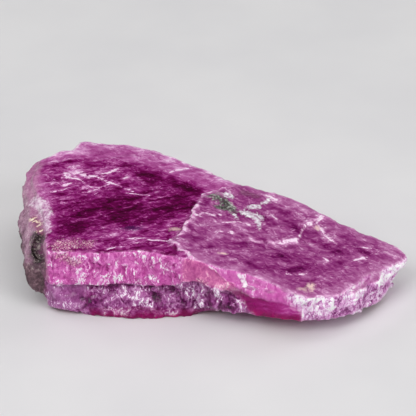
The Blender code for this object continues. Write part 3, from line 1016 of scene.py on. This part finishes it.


# %% [markdown]
# ## The clear tops
# The depth is a sum of simple parts: soft clouds, streaks along the growth lines, which run another
# way on the plate and along the back edge, threads where a noise passes through its middle, short
# dashes of painted glints, the deep windows and the pale border. The cracks are paler still, and so
# are the rims and the plate's lip, as painted highlights along with the rims' chipped wear. The
# plate has more fine cracks than the table, so it gets a milkier ramp. Soft spots of ink and cream
# come last.

# %% Growth lines, threads and painted glints
mark = look.mark
along = look.turn(look.bent, -GRAIN)
back_along = look.turn(look.bent, -BACK_GRAIN)
grain = look.noise(along, (2.2, 0.42, 1.0), detail=5)
back_grain = look.noise(back_along, (1.5, 0.55, 1.0), detail=5)
streak = grain + (back_grain - grain) * look.most(mark["back"], mark["plate"] * 0.75)
threads = look.threads(back_along, (1.9, 0.8, 2.0), 1.0, 0.06) * look.ease(look.clumps, 0.4, 0.62)
strands = look.threads(along, (2.4, 0.5, 1.0), 0.6, 0.05) * look.ease(look.lump, 0.42, 0.6)
# Short dashes painted as glints.
glint_dashes = look.ease(look.noise(along, (0.4, 0.14, 0.5), detail=1), 0.6, 0.72)
glint_dashes = glint_dashes * look.ease(look.clumps, 0.4, 0.6)
look.tell("growth lines and threads")

# %% Depth of the look into the tops
# How much each part adds to the depth's number, which is low where one looks far in.
CLOUD_SHARE = 1.2
STREAK_SHARE = 0.95
SCALE_SHARE = 0.6
THREAD_SHARE = 0.24
GLINT_DASH_SHARE = 0.3
CRACK_SHARE = 0.7
MIDDLE_DEPTH = 0.4
MARK_SHARES = {"window": -0.28, "border": 0.18, "plate": 0.1, "back_strip": 0.24, "pale": 0.15}

straight = look.turn(look.place, -GRAIN)
clouds = look.noise(straight, (2.6, 1.3, 2.0), detail=5, distortion=0.6, roughness=0.6)
scales = look.noise(back_along, (0.9, 0.3, 0.8), detail=4, distortion=0.4)
depth = (clouds - 0.5) * CLOUD_SHARE + (streak - 0.5) * STREAK_SHARE
depth = depth + (scales - 0.5) * SCALE_SHARE
depth = depth + look.most(threads, strands) * THREAD_SHARE + glint_dashes * GLINT_DASH_SHARE
calm = 1 - look.most(mark["border"], mark["back_strip"]) * 0.5 - mark["plate"] * 0.1
depth = depth * calm + MIDDLE_DEPTH
for name, share in MARK_SHARES.items():
    depth = depth + mark[name] * share
broken_up = look.ease(streak + (look.grit - 0.5) * 0.8, 0.3, 0.6)
# The rims are painted paler, as highlights along with their chipped wear, and so is the plate's lip
# below.
rim_light_and_wear = look.ease(mark["edge"], 0.1, 0.8) * (look.ease(streak, 0.4, 0.6) * 0.16 + 0.14)
depth = depth + cracks * broken_up * CRACK_SHARE + mark["lip"] * 0.2 + rim_light_and_wear
look.tell("depth of the tops")

# %% Colour of the tops
# Each ramp runs from the deepest look into the stone to the palest veil.
TABLE_RAMP = [
    (0.0, (62, 0, 36)), (0.26, (102, 0, 72)), (0.48, (142, 32, 114)), (0.7, (184, 92, 160)),
    (0.88, (224, 158, 210)), (1.0, (252, 224, 246)),
]
PLATE_RAMP = [
    (0.0, (70, 0, 52)), (0.27, (118, 22, 96)), (0.5, (150, 62, 128)), (0.7, (180, 106, 160)),
    (0.88, (218, 160, 204)), (1.0, (252, 226, 246)),
]

tops = look.mix(mark["plate"], look.ramp(depth, TABLE_RAMP), look.ramp(depth, PLATE_RAMP))
for centre, halves, spot_colour, strength in SPOTS:
    tops = look.mix(flat.spot(centre, halves) * strength, tops, rgb(spot_colour))
look.tell("colour of the tops")

# %% [markdown]
# ## The broken walls
# A broken wall is a heap of tiny faces that each catch the light in their own way. Their geometry
# is there already, but it is too coarse for the finest glints. So each wall is a ramp over one
# tone, which adds up the grit, the small faces, the lumps and the crests of the relief. Short
# curved strokes are added to the tone as painted white glints, partly the white of fine fractures,
# and others are taken off it as painted shade in pits.

# %% Patterns of the broken walls
GRIT_SHARE = 0.8
LUMP_SHARE = 1.1
CREST_SHARE = 0.22
FACE_SHARE = 0.35

face, seam = look.cells(look.bent, (0.45, 0.45, 0.7))
# Painted light and painted shade on the walls, from the listed patches.
spots = mark["light"] * 0.14 - mark["shade"] * 0.3
# The crests of the relief make the tone lighter, as painted highlights, and its hollows darker, as
# painted shade.
fine_tone = (look.grit - 0.5) * GRIT_SHARE + mark["crest"] * CREST_SHARE
fine_tone = fine_tone + (face - 0.5) * FACE_SHARE
broad_tone = (look.lump - 0.5) * LUMP_SHARE + spots
tone = fine_tone + broad_tone
region = look.noise(look.place, (4.0, 4.0, 3.0), detail=2) - 0.5
patchy = look.clumps + region * 1.1 + mark["light"] * 0.3 - mark["shade"] * 0.3
patchy = look.ease(patchy, 0.42, 0.64)
# Edges that stand out are painted lighter, as highlights.
lit_edges = look.ease(mark["edge"], 0.25, 0.9) * patchy
look.tell("tones of the walls")

# %% Painted glints and painted shade in pits
fine_glints = look.strokes((0.3, 0.3, 1.2), 5.0) * patchy
bold_glints = look.strokes((0.5, 0.5, 1.6), 9.0, 0.075)
bold_glints = bold_glints * look.ease(look.lump + spots * 1.5, 0.48, 0.62)
glints = look.most(fine_glints * 0.9, bold_glints)
pit_shade = look.strokes((0.4, 0.4, 0.9), 21.0, 0.12)
look.tell("glints and pits")

# %% [markdown]
# The band is the front of the upper layers, pink and bright. The foot under it lies in shade, is
# darker and ends at the left in a rounded, calmer lobe. Where light comes through its thin lower
# edge, the sliver there is painted with a hot magenta glow, which fades upwards.

# %% Colour of the band and the foot
BAND_RAMP = [
    (0.0, (116, 10, 88)), (0.26, (184, 62, 150)), (0.5, (210, 98, 180)), (0.72, (232, 138, 208)),
    (0.88, (252, 206, 242)), (1.0, (255, 248, 255)),
]
FOOT_RAMP = [
    (0.0, (66, 0, 54)), (0.27, (116, 28, 98)), (0.5, (162, 82, 148)), (0.7, (196, 130, 184)),
    (0.88, (234, 196, 230)), (1.0, (255, 244, 255)),
]
LOBE_RAMP = [
    (0.0, (124, 50, 110)), (0.5, (172, 98, 160)), (0.8, (210, 156, 202)), (1.0, (250, 230, 250)),
]
# The glow of light coming through the thin lower edge, painted as colour.
PAINTED_GLOW_RAMP = [(0.0, (80, 0, 44)), (0.5, (140, 0, 88)), (1.0, (208, 0, 126))]
CORNER_PINK = (184, 104, 152)

band = (tone * 0.7 + glints * 0.62 - pit_shade * 0.2) * (1 - mark["plate_front"] * 0.5)
band = band + lit_edges * 0.18 + 0.52
band = band + (region * 1.2 - glints * 0.2) * mark["back"]
band = look.mix(mark["corner"] * 0.8, look.ramp(band, BAND_RAMP), rgb(CORNER_PINK))
foot = look.ramp(fine_tone * 0.6 + broad_tone + glints * 0.55 - pit_shade * 0.2 + 0.48, FOOT_RAMP)
lobe = look.ramp(tone * 0.75 + glints * 0.55 - pit_shade * 0.15 + 0.48, LOBE_RAMP)
foot = look.mix(mark["lobe"] * 0.85, foot, lobe)
# How high up the sliver's painted glow fades.
veil = look.ease(look.z + (look.lump - 0.5) * 1.2, 0.3, 0.8)
sliver = look.ramp(tone * 0.6 + 0.42, PAINTED_GLOW_RAMP)
foot = look.mix(mark["sliver"] * (1 - veil * 0.6), foot, sliver)
look.tell("band and foot")

# %% [markdown]
# The thin end is the palest: its scales are parted by dark seams and glitter all over with painted
# glints. The smooth break beside the band is salmon pink, and the prow under the plate's front is
# sheer and clear, with the same painted glow at its foot.

# %% Colour of the thin end, the smooth break and the prow
END_RAMP = [
    (0.0, (108, 30, 94)), (0.28, (176, 92, 162)), (0.5, (214, 150, 204)), (0.72, (238, 200, 234)),
    (0.9, (250, 234, 250)), (1.0, (255, 252, 255)),
]
SALMON_RAMP = [
    (0.0, (150, 44, 118)), (0.3, (188, 78, 148)), (0.55, (212, 106, 170)), (0.8, (238, 150, 198)),
    (1.0, (255, 216, 232)),
]
PROW_RAMP = [
    (0.0, (110, 0, 72)), (0.4, (156, 4, 112)), (0.7, (180, 56, 146)), (1.0, (222, 132, 196)),
]

scale, scale_seam = look.cells(look.bent + 3.0, (0.55, 0.55, 0.8))
seams = look.most(look.ease(scale_seam, 0.14, 0.0), look.ease(seam, 0.1, 0.0) * 0.6)
thin_end = tone * 0.72 + (scale - 0.5) * 0.4 + spots * 0.25 + glints * 0.5 - pit_shade * 0.25
thin_end = thin_end - seams * look.ease(look.grit, 0.4, 0.65) * 0.42
thin_end = look.ramp(thin_end + lit_edges * 0.15 + 0.73, END_RAMP)
salmon = tone * 0.8 + region * 0.6 + glints * 0.3 + lit_edges * 0.4 + 0.52
salmon = look.ramp(salmon, SALMON_RAMP)
sheer = look.noise(look.turn(look.bent, 0.5), (1.4, 1.4, 0.35), detail=3)
sheer = (sheer - 0.5) * 1.4 + (look.lump - 0.5) * 0.6 + look.ease(look.x, 4.0, 9.0) * 0.4
prow = look.ramp(sheer + 0.34, PROW_RAMP)
# The prow's foot takes the same painted glow.
prow = look.mix(mark["prow_foot"], prow, look.ramp(tone * 0.6 + 0.5, PAINTED_GLOW_RAMP))
look.tell("thin end, smooth break and prow")

# %% [markdown]
# ## The weathered flank
# The left end was the outside of the crystal in its rock. It is dull, mauve grey above and brown
# below. Its shoulder, where the table turns down to it, is a chalky pink.

# %% Colour of the flank
UPPER_RIND_RAMP = [
    (0.0, (98, 68, 86)), (0.4, (166, 122, 148)), (0.7, (200, 160, 182)), (1.0, (244, 222, 234)),
]
LOWER_RIND_RAMP = [
    (0.0, (50, 38, 38)), (0.45, (98, 72, 82)), (0.75, (130, 100, 110)), (1.0, (180, 150, 150)),
]
SHOULDER_RAMP = [(0.0, (140, 72, 122)), (0.5, (188, 118, 164)), (1.0, (232, 186, 214))]

weathered = (look.grit - 0.5) * GRIT_SHARE + (look.lump - 0.5) * LUMP_SHARE
weathered = weathered + (look.speckle - 0.5) * 1.4 + 0.5
upper = look.ease(look.z + (look.clumps - 0.5) * 2, 4.1, 5.8)
rind = look.ramp(weathered, UPPER_RIND_RAMP)
rind = look.mix(upper, look.ramp(weathered, LOWER_RIND_RAMP), rind)
shoulder = look.ramp(look.grit, SHOULDER_RAMP)
look.tell("flank")

# %% [markdown]
# ## Other minerals
# The hollow in the flank is nearly black, with a cream stain over it. Mica and a chalky filling lie
# on the plate, and pale dust on the front left corner. They are thin films, so they are only colour.
# A dull olive tone lies on the plate and under its front rim, and a small chip gets a painted white
# highlight.
# Each is laid over the stone where its mark is strong, with an edge that a fine noise has frayed,
# and has a ramp over a mottled noise of its own scale.

# %% Colour of the other minerals
DUST_RAMP = [
    (0.0, (142, 54, 112)), (0.35, (188, 96, 150)), (0.6, (216, 138, 172)), (0.8, (244, 206, 210)),
    (1.0, (255, 246, 244)),
]
DARK_HOLLOW_RAMP = [(0.0, (10, 7, 6)), (0.4, (34, 28, 28)), (0.7, (96, 84, 84)), (1.0, (176, 160, 158))]
STAIN_RAMP = [
    (0.0, (104, 48, 82)), (0.3, (150, 88, 120)), (0.55, (202, 150, 154)), (0.85, (242, 214, 190)),
    (1.0, (252, 236, 216)),
]
OLIVE = (98, 62, 76)
MICA_RAMP = [
    (0.0, (40, 42, 40)), (0.4, (84, 82, 80)), (0.65, (126, 122, 120)), (1.0, (206, 216, 202)),
]
CHALK_RAMP = [
    (0.0, (156, 104, 144)), (0.35, (196, 170, 190)), (0.7, (230, 224, 232)), (1.0, (254, 250, 254)),
]
FROST_RAMP = [
    (0.0, (168, 104, 150)), (0.3, (206, 160, 194)), (0.6, (234, 208, 228)), (1.0, (255, 246, 254)),
]
# The chip's painted highlight.
CHIP_GLINT_RAMP = [(0.0, (220, 150, 204)), (0.45, (254, 236, 250)), (1.0, (255, 252, 255))]


def lay_minerals(look, colour):
    """Lays the dust, the dark hollow, the stain, the olive tone, the mica, the chalk, the frost and
    the chip's painted highlight over a colour, in this order.
    """
    hollow_grain = look.speckle * 4.6 - 1.85
    mottle = look.speckle * 2.6 + look.clumps * 1.0 - 1.3
    powder = look.noise(look.place, (0.19, 0.19, 0.19), detail=2, roughness=0.6) * 4.2 - 1.7
    veins = look.strokes((0.6, 0.6, 0.8), 41.0, 0.2) * 0.8 + (look.speckle - 0.5) * 1.2 + 0.25
    films = [
        (look.ragged("dust", 1.2) * 0.8, look.ramp(powder, DUST_RAMP)),
        (look.ragged("hollow", 0.8), look.ramp(hollow_grain, DARK_HOLLOW_RAMP)),
        (look.ragged("stain"), look.ramp(veins, STAIN_RAMP)),
        (look.ragged("olive") * 0.5, rgb(OLIVE)),
        (look.ragged("mica"), look.ramp(mottle, MICA_RAMP)),
        (look.ragged("chalk", 1.3, 0.35, 1.0), look.ramp(mottle, CHALK_RAMP)),
        (look.ragged("frost") * 0.85, look.ramp(mottle, FROST_RAMP)),
        (look.ragged("chip", 0.7, 0.15, 0.5), look.ramp(mottle, CHIP_GLINT_RAMP)),
    ]
    for cover, film in films:
        colour = look.mix(cover, colour, film)
    return colour


# %% [markdown]
# ## Put the finishes together
# Each finish is laid over the last one through the mark of its zone. A separate material for each
# zone would leave hard borders between them. The rims of the tops take some of the band's pale
# look, as a painted highlight along with their chipped wear. The roughness follows the zones too:
# the tops are glossy, the walls less so, and the weathered flank is dull. A fine bump gives the
# growth lines their sheen.

# %% One colour for the whole stone
# A hot magenta, half of the underside's colour, painted as light glowing through the bottom.
UNDERSIDE_GLOW = (150, 0, 84)


def stone_colour(look):
    colour = look.mix(mark["under"], tops, look.mix(0.5, tops, rgb(UNDERSIDE_GLOW)))
    # The rims' painted highlight, along with their chipped wear.
    rim_sheen_and_wear = look.ease(mark["edge"] + (look.grit - 0.5) * 1.6, 0.4, 0.95)
    below = look.most(look.most(mark["foot"], mark["sliver"]), mark["low"] * 0.8)
    layers = [
        (look.most(mark["wall"], rim_sheen_and_wear * 0.7), band),
        (mark["smooth_break"], salmon),
        (below, foot),
        (mark["prow"], prow),
        (mark["thin_end"], thin_end),
        (mark["shoulder"], shoulder),
        (mark["rind"], rind),
    ]
    for zone, finish in layers:
        colour = look.mix(zone, colour, finish)
    return lay_minerals(look, colour)


colour = stone_colour(look)
look.tell("all colours")

# %% Gloss and bump
COAT = 0.22
BUMP_HEIGHT = 0.04  # in mm
GLOW_REACH = 0.2  # how far light spreads under the surface, in mm

dull = look.most(mark["rind"], look.ragged("chalk"))
rough = look.ease(streak, 0.3, 0.7) * 0.1 + dull * 0.35 + mark["wall"] * 0.08 + 0.16
clear = look.most(look.most(mark["sliver"], mark["prow"]), mark["under"])
bump = look.node(
    "ShaderNodeBump", {},
    {"Height": streak + look.grit * 0.3, "Strength": 0.6, "Distance": BUMP_HEIGHT * MM},
)
material = look.finish({
    "Base Color": colour, "Roughness": rough, "Normal": bump,
    "Coat Weight": COAT - clear * COAT, "Coat Roughness": 0.2,
    "IOR": 1.77, "Specular IOR Level": 0.1, "Subsurface Weight": 0.25,
    "Subsurface Radius": (1.0, 0.8, 0.95), "Subsurface Scale": GLOW_REACH * MM,
})
stone.data.materials.clear()
stone.data.materials.append(material)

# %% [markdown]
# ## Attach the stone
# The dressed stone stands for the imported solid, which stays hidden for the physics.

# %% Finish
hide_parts("sapphire_crystal")
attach(stone, "root")
